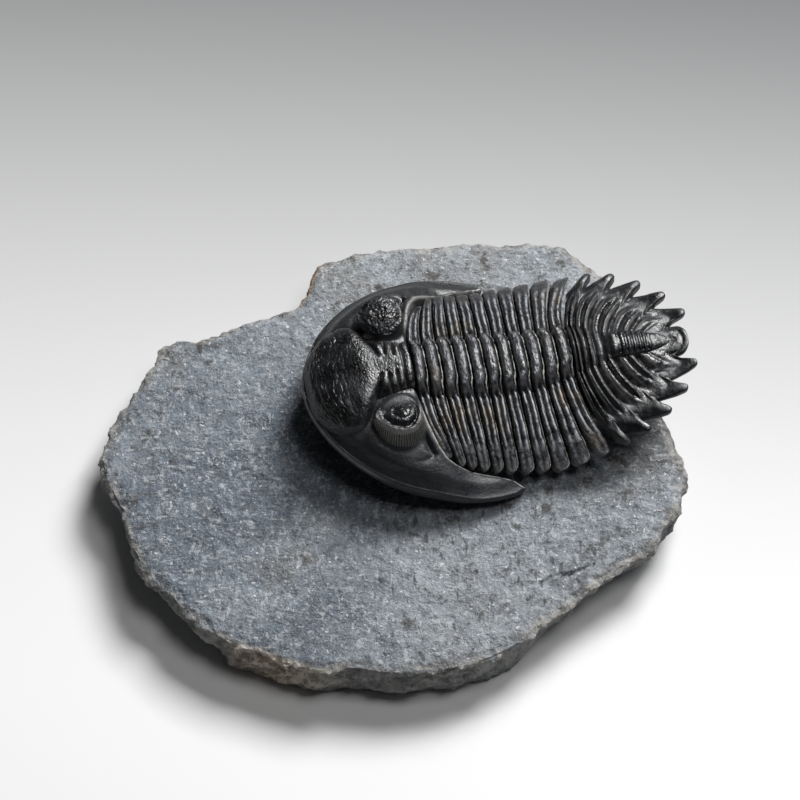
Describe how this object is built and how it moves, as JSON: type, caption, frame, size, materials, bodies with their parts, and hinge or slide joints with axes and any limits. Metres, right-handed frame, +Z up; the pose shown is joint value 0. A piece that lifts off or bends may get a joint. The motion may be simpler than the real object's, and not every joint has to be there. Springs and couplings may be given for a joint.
{
  "type": "trilobite fossil on a stone slab",
  "caption": "Spiny-tailed black trilobite fossil with compound eyes, prepared free on a loose slab of grey limestone.",
  "frame": {"origin": "centre of the bounding box's bottom face, on the surface that the slab lies on", "axes": "+X along the longest extent, to the right of the picture and roughly from the fossil's head to its tail; +Y away from the camera; +Z up, out of the slab's upper face"},
  "size_m": [0.0998, 0.0826, 0.0259],
  "materials": {
    "black_fossil": "near-black mineralised shell, satin on ridges, pale sediment in furrows",
    "grey_limestone": "matt blue-grey limestone with pale flecks and broken edges"
  },
  "bodies": {
    "root": {"matrix_slab": "grey_limestone", "cephalon": "black_fossil", "thorax_segment_01": "black_fossil", "thorax_segment_02": "black_fossil", "thorax_segment_03": "black_fossil", "thorax_segment_04": "black_fossil", "thorax_segment_05": "black_fossil", "thorax_segment_06": "black_fossil", "thorax_segment_07": "black_fossil", "thorax_segment_08": "black_fossil", "thorax_segment_09": "black_fossil", "thorax_segment_10": "black_fossil", "thorax_segment_11": "black_fossil", "pygidium": "black_fossil"}
  },
  "joints": []
}
